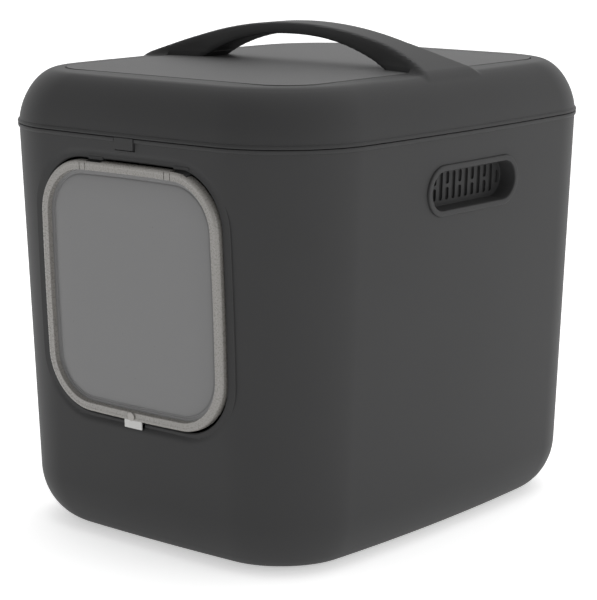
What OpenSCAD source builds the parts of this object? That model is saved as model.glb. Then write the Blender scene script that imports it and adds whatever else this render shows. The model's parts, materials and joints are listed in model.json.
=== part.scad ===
// Cat litter box with hood.
// A tapered tub carries a hinged hood with an arched handle, a see-through swing flap in a ring frame,
// a front clip, and a vented grip pocket with a charcoal filter on each side.
// Origin: middle of the footprint, on the floor. X is the width, -Y is the front, Z is up.

/* [Shell] */
// Width of the shell at the seam
shell_w = 400; // [360:5:480]
// Depth of the shell at the seam, without the rear hinges
shell_d = 490; // [430:5:560]
// Height of the tub, from the floor to the seam
tub_h = 380.5; // [320:0.5:460]
// Height of the hood, from the seam to its flat top
hood_h = 51.5; // [45:0.5:60]
// Wall thickness of tub and hood
wall = 3; // [2.6:0.1:3.4]
// Draft of the four side walls, in degrees
draft = 2.25; // [1.5:0.05:3]
// Radius of the vertical corners at the seam
corner_r = 86; // [70:1:100]
// Radius of the vertical corners just above the rounded foot
foot_corner_r = 73; // [60:1:90]
// How far the middle of a side wall bulges past its ends
side_bow = 11; // [0:0.5:13]
// How far the middle of the front and back walls bulges past their ends
front_bow = 5.5; // [0:0.5:7]
// Inward reach of the rounded foot
foot_inset = 35; // [25:1:42]
// Height of the rounded foot
foot_rise = 49; // [36:1:60]
// Inward reach of the hood's rounded shoulder
shoulder_inset = 28.5; // [22:0.5:34]

/* [Hood rim] */
// Height of the bead around the hood's lower edge
bead_h = 5.6; // [4.6:0.2:7]
// How far the bead stands out from the wall
bead_out = 1.5; // [1:0.1:2]
// Height of the locating lip on the tub's rim
lip_h = 7; // [4:0.5:9]
// Gap between hood and tub around the seam
seam_gap = 0.5; // [0.4:0.1:0.8]

/* [Handle] */
// Rise of the handle above the hood's flat top
handle_rise = 38; // [34:1:46]
// Width of the grip at mid span, front to back
handle_w = 38; // [32:1:44]
// Extra half width where a handle foot meets the hood
foot_flare = 12; // [4:1:14]
// Thickness of the grip at mid span
handle_t = 11; // [9:0.5:13]
// Clear length of the hand opening
hand_gap_l = 230; // [180:5:250]
// Wall of the hollow handle
handle_wall = 3; // [2.4:0.2:3.2]

/* [Top panel] */
// Distance from the hood's side to the panel recess
panel_margin_x = 50; // [44:1:60]
// Distance from the hood's front and back to the panel recess
panel_margin_y = 50; // [44:1:70]
// Corner radius of the panel
panel_r = 42; // [25:1:50]
// Thickness of the panel
panel_t = 2; // [1.6:0.1:2.4]
// How deep the panel's face lies below the hood's flat top
panel_sink = 1.5; // [1:0.1:2]

/* [Flap] */
// Outer width of the flap ring
ring_w = 218; // [180:2:236]
// Outer height of the flap ring
ring_h = 235; // [190:1:240]
// How far the ring's upper edge lies below the seam
ring_drop = 22.5; // [22:0.5:30]
// Outer corner radius of the ring
ring_r = 50; // [36:1:60]
// Width of the ring's bar, seen from the front
bar_w = 10; // [9.6:0.2:12]
// Depth of the ring's bar, front to back
bar_d = 9; // [8.6:0.2:10]
// Gap between the ring and the doorway, above and below
door_gap = 1.8; // [1.6:0.1:2.4]
// Gap between the ring and the doorway on each side
door_side_gap = 1; // [0.8:0.1:1.6]
// Corner radius of the doorway, tighter than the ring's so that its corners clear the swinging ring
door_r = 44; // [34:1:50]
// Depth of the shallow pocket around the doorway
pocket_sink = 2.5; // [2.2:0.1:2.8]
// Width of that pocket around the doorway
pocket_rim = 6; // [4:0.5:8]
// How far the ring stands out of the pocket
ring_proud = 5.5; // [5:0.1:6]
// Thickness of the clear pane
pane_t = 2.4; // [2:0.1:3]
// Overlap of the pane on the ring's rebate
pane_lap = 2.2; // [1.8:0.1:2.6]
// Diameter of the flap's hinge pins
flap_pin_d = 3; // [2.6:0.1:3.2]
// Distance of each flap hinge's knuckle from the middle
flap_hinge_x = 52; // [36:1:54]

/* [Flap lock] */
// Width of the lock's tongue
lock_w = 21.5; // [16:0.5:24]
// Thickness of the lock's tongue
lock_t = 2.2; // [1.8:0.1:2.6]
// How far the tongue hangs below the ring
lock_drop = 7; // [6:0.5:9]
// Place of the lock beside the flap's middle, to the left when negative
lock_x = -3.5; // [-8:0.5:8]
// Travel of the lock
lock_travel = 6; // [5:0.5:6]
// Diameter of the lock's knob
knob_d = 8; // [7:0.5:9]

/* [Side grips] */
// Overall length of a grip's flange
grip_l = 140; // [120:2:160]
// Overall height of a grip's flange
grip_h = 47; // [42:1:52]
// Width of the flange around the pocket
grip_rim = 5.5; // [5:0.5:6.5]
// Depth of the grip pocket
grip_deep = 16; // [12:1:22]
// How far the grip's middle lies below the seam
grip_drop = 50.5; // [44:0.5:64]
// Distance of the grip's middle behind the shell's middle
grip_y = 5; // [-20:1:20]
// Width of a vent slot
slot_w = 5.2; // [4.4:0.1:6]
// Spacing of the vent slots
slot_pitch = 9.7; // [9:0.1:11]
// Height of a long vent slot
slot_h = 26; // [20:1:27]
// Thickness of the charcoal filter
filter_t = 8; // [6:0.5:12]

/* [Front clip] */
// Width of the clip
clip_w = 23; // [18:0.5:28]
// How far the clip hangs below the seam
clip_drop = 10.5; // [9.5:0.5:18]
// Thickness of the clip
clip_t = 3; // [2.6:0.1:3.2]
// Diameter of the clip's pin
clip_pin_d = 2.4; // [2:0.1:2.6]

/* [Rear hinges] */
// Distance of each rear hinge from the middle
hinge_x = 95; // [70:1:100]
// Length of one rear hinge
hinge_l = 60; // [48:1:70]
// Diameter of the rear hinge pins
hinge_pin_d = 4; // [3.5:0.1:4.6]
// Outer diameter of the rear hinge barrels
barrel_d = 9; // [8.6:0.1:10]

/* [Hidden] */

$fn = 48;

// Clearances: running fit of a pin, press fit of a pin, loose gap between pieces of one assembly.
run_fit = 0.06;
seat_gap = 0.2;
side_play = 0.5;
// Overlap of shapes that are joined into one piece, and reach of a cut past the face it opens.
join = 0.6;
through = 20;

// Colours.
shell_colour = "#3c3c3e";
panel_colour = "#454547";
ring_colour = "#b4b1aa";
pane_colour = "#8b8b8c";
lock_colour = "#dcdcda";
steel_colour = "#a8abad";
filter_colour = "#1c1c1d";

// Shell.
half_w = shell_w / 2;
half_d = shell_d / 2;
slope = tan(draft);
hood_top = tub_h + hood_h;
shoulder_power = 1.7;
corner_steps = 10;
side_steps = 6;
foot_levels = 7;
shoulder_levels = 8;

// Doorway and flap, in a frame that lies in the sloping front wall.
// Its origin is on the flap's axis, its z runs up the wall and its y runs into the tub.
pivot_z = tub_h - ring_drop - bar_w / 2;
wall_y_at_pivot = -half_d + slope * (tub_h - pivot_z);
pivot_in = pocket_sink - ring_proud + bar_d / 2;
ring_up = bar_w / 2;
ring_low = ring_up - ring_h;
ring_mid = (ring_up + ring_low) / 2;
door_plate = wall + 0.1;
door_lip = 1.4;
relief_out = 3;
bar_round = 3.4;
pane_front = 0.9;
eye_r = flap_pin_d / 2 + 1.25;
eye_room = eye_r + 0.35;
lug_w = 18;
lug_web = 2.2;
lug_from_knuckle = 13;
lug_play = 0.6;
lug_foot_t = 6;
lug_foot_d = 7;
knuckle_w = 6;
knuckle_groove = 1;
pin_root = 8;
pin_room = 1;
// Directions round the flap's axis, from the inside upwards.
// They are the lug's web, and the span that the ring leaves open for it.
lug_angle = 45;
open_from = -60;
open_to = 140;
open_reach = 12;

// Flap lock, in the flap's frame.
lock_y = -bar_d / 2 + 1.3;
lock_play = 0.2;
lock_side_play = 0.4;
lock_root = bar_w - 3.2;
lock_boss_t = 5.6;
lock_boss_rim = 4;
stem_d = 3;
stem_play = 0.3;
stem_z = ring_low + bar_w - 5.2;
knob_t = 1.2;
knob_gap = 0.35;

// Side grips, in a frame that lies in the sloping side wall; its x runs outwards.
grip_floor = -1.4;
grip_proud = 1.5;
grip_wall = 2;
grip_back = 2;
cover_wall = 1.6;

// Front clip.
clip_axis_y = -half_d + 3.4;
clip_axis_z = tub_h + seam_gap + 0.3;
clip_barrel_r = clip_pin_d / 2 + 1.5;
clip_room = 1;
cheek_t = 4;
cheek_front = -half_d + 1.7;
cheek_back = -half_d + 9.6;
cheek_low = clip_axis_z - clip_barrel_r;
cheek_high = tub_h + seam_gap + 9;

// Middle of the side grips.
grip_z = tub_h - grip_drop;

// Rear hinges.
hinge_axis_y = half_d + bead_out + 0.6 + barrel_d / 2;
hinge_axis_z = tub_h + seam_gap + bead_h / 2;
knuckle_gap = 0.5;
knuckle_l = (hinge_l - 2 * knuckle_gap) / 3;

// Handle and top panel.
arch_half = half_w - 24;
arch_end = half_w - 16;
hand_half = hand_gap_l / 2;
panel_floor = hood_top - panel_sink - panel_t;
hood_skin = 2.6;
handle_sink = panel_floor - 1;
flare_from = half_w - 95;
flare_over = 65;
under_power = 2.27;
edge_round = 6;
channel_end = 12;
liner_t = 2.2;

// One level of the shell: a rectangle with round corners whose sides bulge outwards.
function corner_arc(cx, cy, r, start) =
    [for (k = [0:corner_steps]) let (t = start + 90 * k / corner_steps)
        [cx + r * cos(t), cy + r * sin(t)]];

function side_run(from, to) = [for (k = [1:side_steps - 1]) from + (to - from) * k / side_steps];

function round_box(a, b, r) = let (
        ne = corner_arc(a - r, b - r, r, 0),
        nw = corner_arc(r - a, b - r, r, 90),
        sw = corner_arc(r - a, r - b, r, 180),
        se = corner_arc(a - r, r - b, r, 270),
        last = corner_steps)
    concat(ne, side_run(ne[last], nw[0]), nw, side_run(nw[last], sw[0]),
        sw, side_run(sw[last], se[0]), se, side_run(se[last], ne[0]));

function bulged(p, a, b) = [
    p[0] * (1 + side_bow / (a - side_bow) * (1 - pow(p[1] / b, 2))),
    p[1] * (1 + front_bow / (b - front_bow) * (1 - pow(p[0] / a, 2)))];

function level(inset, r, z) = let (a = half_w - inset, b = half_d - inset)
    [for (p = round_box(a - side_bow, b - front_bow, max(r, 8))) let (q = bulged(p, a, b)) [q[0], q[1], z]];

// Wall outline of the tub at height z, moved inwards by skin.
function tub_corner(z) = foot_corner_r + (corner_r - foot_corner_r) * (z - foot_rise) / (tub_h - foot_rise);

function foot_level(t, skin) = let (
        z = foot_rise * (1 - cos(t)),
        pulled = foot_inset * (1 - sin(t)),
        inner_z = skin + (foot_rise - skin) * (1 - cos(t)))
    level(slope * (tub_h - z) + pulled + skin, foot_corner_r - 0.6 * pulled - skin, skin > 0 ? inner_z : z);

function wall_level(z, skin) = level(slope * (tub_h - z) + skin, tub_corner(z) - skin, z);

// Shoulder of the hood: a superellipse from the seam to the flat top.
function shoulder_level(t, skin, top) = let (
        rise = pow(sin(t), 2 / shoulder_power),
        pulled = shoulder_inset * (1 - pow(cos(t), 2 / shoulder_power)),
        low = tub_h + seam_gap)
    level(pulled + skin, corner_r - 0.4 * pulled - skin, low + (top - low) * rise);

// Closed solid through a list of levels that all have the same number of points.
function loft_faces(levels, n) = concat(
    [[for (i = [0:n - 1]) i]],
    [for (j = [0:levels - 2]) for (i = [0:n - 1])
        [j * n + i, (j + 1) * n + i, j * n + (i + 1) % n]],
    [for (j = [0:levels - 2]) for (i = [0:n - 1])
        [(j + 1) * n + i, (j + 1) * n + (i + 1) % n, j * n + (i + 1) % n]],
    [[for (i = [n - 1:-1:0]) (levels - 1) * n + i]]);

module loft(levels) {
    points = [for (l = levels) for (p = l) p];
    polyhedron(points, loft_faces(len(levels), len(levels[0])));
}

// A stadium plate that stands on the plane x = 0 and is t thick along +X.
module stadium_x(l, h, t) {
    rotate([90, 0, 90])
        linear_extrude(t) {
            square([l - h, h], center = true);
            for (s = [-1, 1])
                translate([s * (l - h) / 2, 0])
                    circle(d = h);
        }
}

// Flat rectangle with round corners, from squares and circles.
module round_rect(w, h, r) {
    square([w - 2 * r, h], center = true);
    square([w, h - 2 * r], center = true);
    for (sx = [-1, 1], sy = [-1, 1])
        translate([sx * (w / 2 - r), sy * (h / 2 - r)])
            circle(r = r);
}

// Plate of a round rectangle in the flap's frame: from y = from to y = to, its middle at height mid.
module door_plate_shape(w, h, r, from, to, mid) {
    translate([0, to, mid])
        rotate([90, 0, 0])
            linear_extrude(to - from)
                round_rect(w, h, r, $fn = 96);
}

// Places its children in the flap's frame.
module in_flap_frame() {
    translate([0, wall_y_at_pivot, pivot_z])
        rotate([draft, 0, 0])
            translate([0, pivot_in, 0])
                children();
}

// Places its children in a grip's frame on the right side, or mirrored on the left side.
module in_grip_frame(side) {
    mirror([side < 0 ? 1 : 0, 0, 0])
        translate([half_w - slope * (tub_h - grip_z), grip_y, grip_z])
            rotate([0, draft, 0])
                children();
}

// A rod along X.
module rod_x(x_from, x_to, d) {
    translate([x_from, 0, 0])
        rotate([0, 90, 0])
            cylinder(h = x_to - x_from, d = d);
}

// ---------- Tub ----------

module tub_shell() {
    foot_turn = [for (k = [0:foot_levels]) 90 * k / foot_levels];
    outer = concat(
        [for (t = foot_turn) foot_level(t, 0)],
        [wall_level(tub_h * 0.55, 0)],
        [wall_level(tub_h, 0)]);
    lip_in = wall / 2 + seam_gap / 2;
    rim = [
        wall_level(tub_h, lip_in),
        level(lip_in, corner_r - lip_in, tub_h + lip_h),
        level(wall, corner_r - wall, tub_h + lip_h)];
    inner = concat(
        [wall_level(tub_h * 0.55, wall)],
        [for (k = [foot_levels:-1:0]) foot_level(90 * k / foot_levels, wall)]);
    loft(concat(outer, rim, inner));
}

// Thick plate behind the doorway, up to the sill boss that holds the lock socket.
module doorway_backing() {
    frame_w = ring_w + 2 * (door_gap + pocket_rim + wall);
    frame_h = ring_h + 2 * (door_gap + pocket_rim + wall);
    front = -pivot_in + wall - join;
    back = pocket_sink - pivot_in + door_plate;
    boss_low = ring_low - door_gap - lock_drop - lock_travel - lock_boss_rim;
    in_flap_frame() {
        door_plate_shape(frame_w, frame_h, ring_r + door_gap + pocket_rim, front, back, ring_mid);
        translate([lock_x - lock_w / 2 - lock_boss_rim, front, boss_low])
            cube([lock_w + 2 * lock_boss_rim, lock_boss_t, lock_drop + lock_travel + lock_boss_rim / 2]);
    }
}

module doorway_cut() {
    floor_y = pocket_sink - pivot_in;
    pocket_w = ring_w + 2 * (door_gap + pocket_rim);
    pocket_h = ring_h + 2 * (door_gap + pocket_rim);
    opening_w = ring_w + 2 * door_side_gap;
    opening_h = ring_h + 2 * door_gap;
    in_flap_frame() {
        door_plate_shape(pocket_w, pocket_h, ring_r + door_gap + pocket_rim, -through, floor_y, ring_mid);
        door_plate_shape(opening_w, opening_h, door_r, -through, through, ring_mid);
        // The doorway widens behind a thin front lip, where the ring's corners pass.
        door_plate_shape(opening_w + 2 * relief_out, opening_h + 2 * relief_out, door_r + relief_out,
            floor_y + door_lip, through, ring_mid);
        // Notch that the hanging tongue swings through, and the blind socket below it.
        translate([lock_x - lock_w / 2 - 2 * lock_side_play, -through, ring_low - lock_drop - 1.4])
            cube([lock_w + 4 * lock_side_play, 2 * through, lock_drop]);
        socket_low = ring_low - lock_drop - lock_travel - 1;
        translate([lock_x - lock_w / 2 - lock_side_play, lock_y - lock_play, socket_low])
            cube([lock_w + 2 * lock_side_play, lock_t + 2 * lock_play, lock_drop + lock_travel]);
    }
}

// Where a hanger lug starts along X; each lug lies to the right of its knuckle.
function lug_start(s) = s * flap_hinge_x + lug_from_knuckle - lug_w / 2;

// Hanger lugs: each comes down behind the ring's top bar and holds the middle of a flap pin.
module flap_lugs() {
    reach = bar_w / 2 + door_gap + 5;
    in_flap_frame()
        for (s = [-1, 1])
            translate([lug_start(s), 0, 0]) {
                rod_x(0, lug_w, 2 * eye_r);
                rotate([lug_angle, 0, 0])
                    translate([0, eye_r - join, -lug_web / 2])
                        cube([lug_w, reach - eye_r, lug_web]);
                translate([0, pocket_sink - pivot_in + 0.5, bar_w / 2 + door_gap - join])
                    cube([lug_w, lug_foot_d, lug_foot_t]);
            }
}

module flap_lug_bores() {
    in_flap_frame()
        for (s = [-1, 1])
            translate([lug_start(s), 0, 0])
                rod_x(-1, lug_w + 1, flap_pin_d + 2 * run_fit);
}

module clip_backing() {
    translate([-clip_w / 2 - 5, -half_d + wall - 0.8, tub_h - clip_drop - 6])
        cube([clip_w + 10, clip_t + 3.4, clip_drop + 6 - seam_gap]);
}

module clip_pocket() {
    translate([-clip_w / 2 - clip_room, -half_d - 5, tub_h - clip_drop - clip_room])
        cube([clip_w + 2 * clip_room, 5 + clip_t + 1.6, clip_drop + lip_h + 10]);
    // Room behind the rim for the clip's barrel and for the two cheeks that carry its pin.
    bracket_w = clip_w + 2 * (side_play + cheek_t + 0.4);
    translate([-bracket_w / 2, cheek_front - 0.4, cheek_low - 0.5])
        cube([bracket_w, cheek_back - cheek_front + 0.8, lip_h + 20]);
}

// Outer knuckles of the rear hinges with their gussets on the back wall.
module tub_knuckles() {
    for (s = [-1, 1], k = [0, 2])
        translate([s * hinge_x - hinge_l / 2 + k * (knuckle_l + knuckle_gap), hinge_axis_y, hinge_axis_z]) {
            rod_x(0, knuckle_l, barrel_d);
            rotate([90, 0, 90])
                linear_extrude(knuckle_l)
                    polygon([[barrel_d / 2, 0], [-barrel_d / 2, 0],
                        [-barrel_d / 2, -bead_h / 2 - seam_gap - 0.6],
                        [half_d - hinge_axis_y - 4, -bead_h / 2 - seam_gap - 0.6],
                        [half_d - hinge_axis_y - 4, -30],
                        [half_d - hinge_axis_y, -30]]);
        }
}

module hinge_bores(play) {
    for (s = [-1, 1])
        translate([s * hinge_x, hinge_axis_y, hinge_axis_z])
            rod_x(-hinge_l, hinge_l, hinge_pin_d + 2 * play);
}

module grip_seat(side) {
    in_grip_frame(side) {
        translate([grip_floor, 0, 0])
            stadium_x(grip_l + 2 * seat_gap, grip_h + 2 * seat_gap, 20);
        tube_l = grip_l - 2 * grip_rim + 2 * grip_wall;
        tube_h = grip_h - 2 * grip_rim + 2 * grip_wall;
        translate([-20, 0, 0])
            stadium_x(tube_l + 2 * seat_gap, tube_h + 2 * seat_gap, 30);
    }
}

module tub() {
    color(shell_colour)
        difference() {
            union() {
                difference() {
                    union() {
                        tub_shell();
                        doorway_backing();
                        clip_backing();
                        tub_knuckles();
                    }
                    doorway_cut();
                    clip_pocket();
                    for (side = [-1, 1])
                        grip_seat(side);
                }
                flap_lugs();
            }
            flap_lug_bores();
            hinge_bores(0);
        }
}

// ---------- Hood ----------

// Width, top and underside of the handle at the place x along it.
function arch_share(x) = min(1, max(0, (abs(x) - flare_from) / flare_over));
function handle_half(x) = handle_w / 2 + foot_flare * pow(sin(90 * arch_share(x)), 2);
function arch_top(x) =
    abs(x) > arch_half + 1 ? handle_sink : hood_top + handle_rise * (1 - pow(x / arch_half, 2));
function arch_under(x) = let (
        opening = handle_rise - handle_t,
        fall = (opening + panel_sink) * pow(abs(x) / hand_half, under_power))
    max(handle_sink, hood_top + opening - fall);

// One cross-section of the handle: a rectangle with round upper corners, skin smaller all round.
function handle_section(x, skin, under) = let (
        w = handle_half(x) - skin,
        top = max(arch_top(x) - skin, under + 0.8),
        r = max(0.3, min(edge_round - skin, (top - under) / 2.2)))
    concat(
        [for (k = [0:4]) [x, w - r + r * cos(90 * k / 4), top - r + r * sin(90 * k / 4)]],
        [for (k = [0:4]) [x, r - w + r * cos(90 + 90 * k / 4), top - r + r * sin(90 + 90 * k / 4)]],
        [[x, -w, under], [x, w, under]]);

arch_steps = 36;

function arch_places(limit) = [for (k = [0:arch_steps]) limit * sin(90 * (2 * k / arch_steps - 1))];

module handle_solid(grow) {
    deeper = grow > 0 ? panel_t + 1 : 0;
    loft([for (x = arch_places(arch_end + grow)) handle_section(x, -grow, arch_under(x) - deeper)]);
}

module handle_channel() {
    loft([for (x = arch_places(hand_half - channel_end)) handle_section(x, handle_wall, arch_under(x) - 3)]);
}

module hood_shell() {
    turns = [for (k = [0:shoulder_levels]) 90 * k / shoulder_levels];
    inner_top = panel_floor - hood_skin;
    low = tub_h + seam_gap;
    lip_room = wall / 2 - seam_gap / 2;
    inner = concat(
        [for (k = [shoulder_levels:-1:2]) shoulder_level(turns[k], lip_room + 1.2, inner_top)],
        [level(lip_room, corner_r - wall / 2, low + lip_h)],
        [level(lip_room, corner_r - wall / 2, low)]);
    bead = [
        level(-bead_out + 0.6, corner_r + bead_out, low),
        level(-bead_out, corner_r + bead_out, low + 0.8),
        level(-bead_out, corner_r + bead_out, low + bead_h - 1.2),
        level(-0.3, corner_r, low + bead_h)];
    outer = [for (k = [0:shoulder_levels]) shoulder_level(max(turns[k], 8), 0, hood_top)];
    loft(concat(inner, bead, outer));
}

module panel_shape(gap) {
    w = shell_w - 2 * panel_margin_x - 2 * gap;
    d = shell_d - 2 * panel_margin_y - 2 * gap;
    round_rect(w, d, panel_r - gap, $fn = 64);
}

module hood_knuckles() {
    for (s = [-1, 1])
        translate([s * hinge_x - knuckle_l / 2, hinge_axis_y, hinge_axis_z]) {
            rod_x(0, knuckle_l, barrel_d);
            translate([0, half_d - 1.2 - hinge_axis_y, -bead_h / 2])
                cube([knuckle_l, hinge_axis_y - half_d + 1.2, bead_h]);
        }
}

// Cheeks inside the hood that carry the clip's pin.
module clip_cheeks() {
    for (s = [-1, 1])
        translate([s * (clip_w / 2 + side_play + cheek_t / 2) - cheek_t / 2, cheek_front, cheek_low])
            cube([cheek_t, cheek_back - cheek_front, cheek_high - cheek_low]);
}

module clip_slot() {
    room = clip_w + 2 * side_play;
    translate([-room / 2, clip_axis_y, clip_axis_z])
        rod_x(0, room, 2 * clip_barrel_r + 0.8);
    translate([-room / 2, -half_d + 0.2, tub_h - 1])
        cube([room, cheek_back - (-half_d + 0.2), clip_axis_z - tub_h + 1]);
}

module hood() {
    color(shell_colour)
        difference() {
            union() {
                difference() {
                    hood_shell();
                    translate([0, 0, panel_floor])
                        linear_extrude(20)
                            panel_shape(0);
                }
                handle_solid(0);
                hood_knuckles();
                clip_cheeks();
            }
            handle_channel();
            hinge_bores(run_fit);
            clip_slot();
            translate([-clip_w, clip_axis_y, clip_axis_z])
                rod_x(0, 2 * clip_w, clip_pin_d);
        }
}

module handle_liner() {
    color(shell_colour)
        loft([for (x = arch_places(hand_half - channel_end - 2 * seat_gap))
            let (w = handle_half(x) - handle_wall - seat_gap, low = arch_under(x) + seat_gap,
                high = low + liner_t)
            [[x, w, high], [x, -w, high], [x, -w, low], [x, w, low]]]);
}

module top_panel() {
    color(panel_colour)
        difference() {
            translate([0, 0, panel_floor])
                linear_extrude(panel_t)
                    panel_shape(0.4);
            handle_solid(0.5);
        }
}

module hinge_pin(side) {
    color(steel_colour)
        translate([side * hinge_x - hinge_l / 2, hinge_axis_y, hinge_axis_z])
            rod_x(1, hinge_l - 1, hinge_pin_d);
}

// ---------- Front clip ----------

module front_clip() {
    drop = clip_drop + clip_axis_z - tub_h;
    front = -half_d + 0.8 - clip_axis_y;
    color(shell_colour)
        difference() {
            translate([-clip_w / 2, clip_axis_y, clip_axis_z]) {
                rod_x(0, clip_w, 2 * clip_barrel_r);
                translate([0, front, -drop])
                    cube([clip_w, clip_t, drop]);
            }
            translate([-clip_w, clip_axis_y, clip_axis_z])
                rod_x(0, 2 * clip_w, clip_pin_d + 2 * run_fit);
        }
}

module clip_pin() {
    reach = clip_w / 2 + side_play + cheek_t - 0.3;
    color(steel_colour)
        translate([0, clip_axis_y, clip_axis_z])
            rod_x(-reach, reach, clip_pin_d);
}

// ---------- Flap ----------

// Cross-section of the ring's bar, its middle at the origin: x across the bar, y through its depth.
module bar_section() {
    round_rect(bar_w, bar_d, bar_round, $fn = 32);
}

module ring_corner(sx, sz) {
    r = ring_r - bar_w / 2;
    start = sx > 0 ? (sz > 0 ? 0 : 270) : (sz > 0 ? 90 : 180);
    translate([sx * (ring_w / 2 - ring_r), 0, ring_mid + sz * (ring_h / 2 - ring_r)])
        rotate([90, 0, 0])
            rotate([0, 0, start])
                rotate_extrude(angle = 90, $fn = 96)
                    translate([r, 0])
                        bar_section();
}

module ring_bars() {
    flat_w = ring_w - 2 * ring_r;
    flat_h = ring_h - 2 * ring_r;
    for (s = [-1, 1]) {
        translate([-flat_w / 2, 0, ring_mid + s * (ring_h - bar_w) / 2])
            rotate([90, 0, 90])
                linear_extrude(flat_w)
                    rotate([0, 0, 90])
                        bar_section();
        translate([s * (ring_w - bar_w) / 2, 0, ring_mid - flat_h / 2])
            linear_extrude(flat_h)
                bar_section();
        for (t = [-1, 1])
            ring_corner(s, t);
    }
}

// Room that a lug needs while the ring swings round it.
module lug_sweep() {
    room_l = lug_w + 2 * lug_play;
    for (s = [-1, 1])
        translate([lug_start(s) - lug_play, 0, 0]) {
            rod_x(0, room_l, 2 * eye_room);
            rotate([90, 0, 90])
                linear_extrude(room_l)
                    polygon(concat([[0, 0]],
                        [for (t = [open_from:20:open_to]) open_reach * [cos(t), sin(t)]]));
        }
}

// Outline of the pane and its rebate, gap larger all round: from y = from to y = to.
module pane_plate(gap, from, to) {
    lap = 2 * (pane_lap + gap - bar_w);
    door_plate_shape(ring_w + lap, ring_h + lap, ring_r - bar_w + pane_lap + gap, from, to, ring_mid);
}

module flap_ring() {
    groove_x = (knuckle_w + knuckle_groove) / 2;
    color(ring_colour)
        in_flap_frame()
            difference() {
                ring_bars();
                lug_sweep();
                pane_plate(seat_gap / 2, pane_front, through);
                for (s = [-1, 1]) {
                    translate([s * flap_hinge_x, 0, 0])
                        rod_x(-pin_root, lug_from_knuckle, flap_pin_d);
                    // Grooves that set off the knuckle band beside each hinge.
                    for (g = [-1, 1])
                        translate([s * flap_hinge_x + g * groove_x - knuckle_groove / 2, -bar_d, -bar_w])
                            cube([knuckle_groove, bar_d / 2 + 0.7, 2 * bar_w]);
                }
                lock_guide();
            }
}

module flap_pane() {
    color(pane_colour)
        in_flap_frame()
            difference() {
                pane_plate(0, pane_front, pane_front + pane_t);
                lug_sweep();
            }
}

module flap_pin(side) {
    color(steel_colour)
        in_flap_frame()
            translate([side * flap_hinge_x, 0, 0])
                rod_x(-pin_root, lug_from_knuckle + lug_w / 2 - pin_room, flap_pin_d);
}

// ---------- Flap lock ----------

// Guide in the ring's lower bar for the tongue, and the slit that the knob's stem slides in.
module lock_guide() {
    translate([lock_x - lock_w / 2 - lock_side_play, lock_y - lock_play, ring_low - 1])
        cube([lock_w + 2 * lock_side_play, lock_t + 2 * lock_play, lock_root + 1.8]);
    translate([lock_x - stem_d / 2 - stem_play, -bar_d, ring_low - 1])
        cube([stem_d + 2 * stem_play, bar_d, lock_root + 2.6]);
}

module flap_lock() {
    color(lock_colour)
        in_flap_frame()
            translate([lock_x - lock_w / 2, lock_y, ring_low - lock_drop])
                cube([lock_w, lock_t, lock_drop + lock_root]);
}

module lock_knob() {
    color(lock_colour)
        in_flap_frame()
            translate([lock_x, lock_y, stem_z]) {
                knob_back = -bar_d / 2 - knob_gap - lock_y;
                rotate([90, 0, 0])
                    cylinder(h = -knob_back + knob_t / 2, d = stem_d);
                translate([0, knob_back, 0])
                    rotate([90, 0, 0])
                        cylinder(h = knob_t, d = knob_d);
            }
}

// ---------- Side grips and filters ----------

// Vent slots: long ones alternate with pairs, and a short one closes each end.
module vent_slots() {
    back = -grip_deep;
    for (k = [-6:6]) {
        edge = abs(k) == 6;
        paired = k % 2 == 0 && !edge;
        for (half = paired ? [-1, 1] : [0])
            translate([back - 10, k * slot_pitch, half * (slot_h + 3) / 4])
                slot_box(edge ? slot_h * 0.45 : paired ? (slot_h - 3) / 2 : slot_h);
    }
}

module slot_box(h) {
    translate([0, -slot_w / 2, -h / 2])
        cube([20, slot_w, h]);
}

module grip(side) {
    open_l = grip_l - 2 * grip_rim;
    open_h = grip_h - 2 * grip_rim;
    color(shell_colour)
        in_grip_frame(side)
            difference() {
                union() {
                    translate([grip_floor, 0, 0])
                        stadium_x(grip_l, grip_h, grip_proud - grip_floor);
                    translate([-grip_deep - grip_back, 0, 0])
                        stadium_x(open_l + 2 * grip_wall, open_h + 2 * grip_wall, grip_deep + grip_back);
                }
                translate([-grip_deep, 0, 0])
                    stadium_x(open_l, open_h, grip_deep + 10);
                vent_slots();
            }
}

module filter(side) {
    color(filter_colour)
        in_grip_frame(side)
            translate([-grip_deep - grip_back - filter_t - 0.1, -grip_l / 2 + 12, -grip_h / 2 + 7])
                cube([filter_t, grip_l - 24, grip_h - 14]);
}

// Clip-on cover that holds the filter behind the grille.
module filter_cover(side) {
    l = grip_l - 18;
    h = grip_h - 9;
    depth = filter_t + 0.4 + cover_wall;
    color(shell_colour)
        in_grip_frame(side)
            difference() {
                translate([-grip_deep - grip_back - depth, -l / 2, -h / 2])
                    cube([depth, l, h]);
                translate([-grip_deep - grip_back - depth + cover_wall, -l / 2 + 2.8, -h / 2 + 2.2])
                    cube([depth, l - 5.6, h - 4.4]);
                for (k = [-5:5], m = [-1, 1])
                    translate([-grip_deep - grip_back - depth - 1, k * 10 - 3.4, m * 7.6 - 5])
                        cube([cover_wall + 2, 6.8, 10]);
            }
}

tub();
hood();
handle_liner();
top_panel();
hinge_pin(-1);  // hinge_pin_left
hinge_pin(1);  // hinge_pin_right
front_clip();
clip_pin();
flap_ring();
flap_pane();
flap_pin(-1);  // flap_pin_left
flap_pin(1);  // flap_pin_right
flap_lock();
lock_knob();
grip(-1);  // grip_left
grip(1);  // grip_right
filter(-1);  // filter_left
filter(1);  // filter_right
filter_cover(-1);  // filter_cover_left
filter_cover(1);  // filter_cover_right
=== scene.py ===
import json
import math

import bmesh
import bpy
import numpy as np
from mathutils import Matrix, Vector


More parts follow.
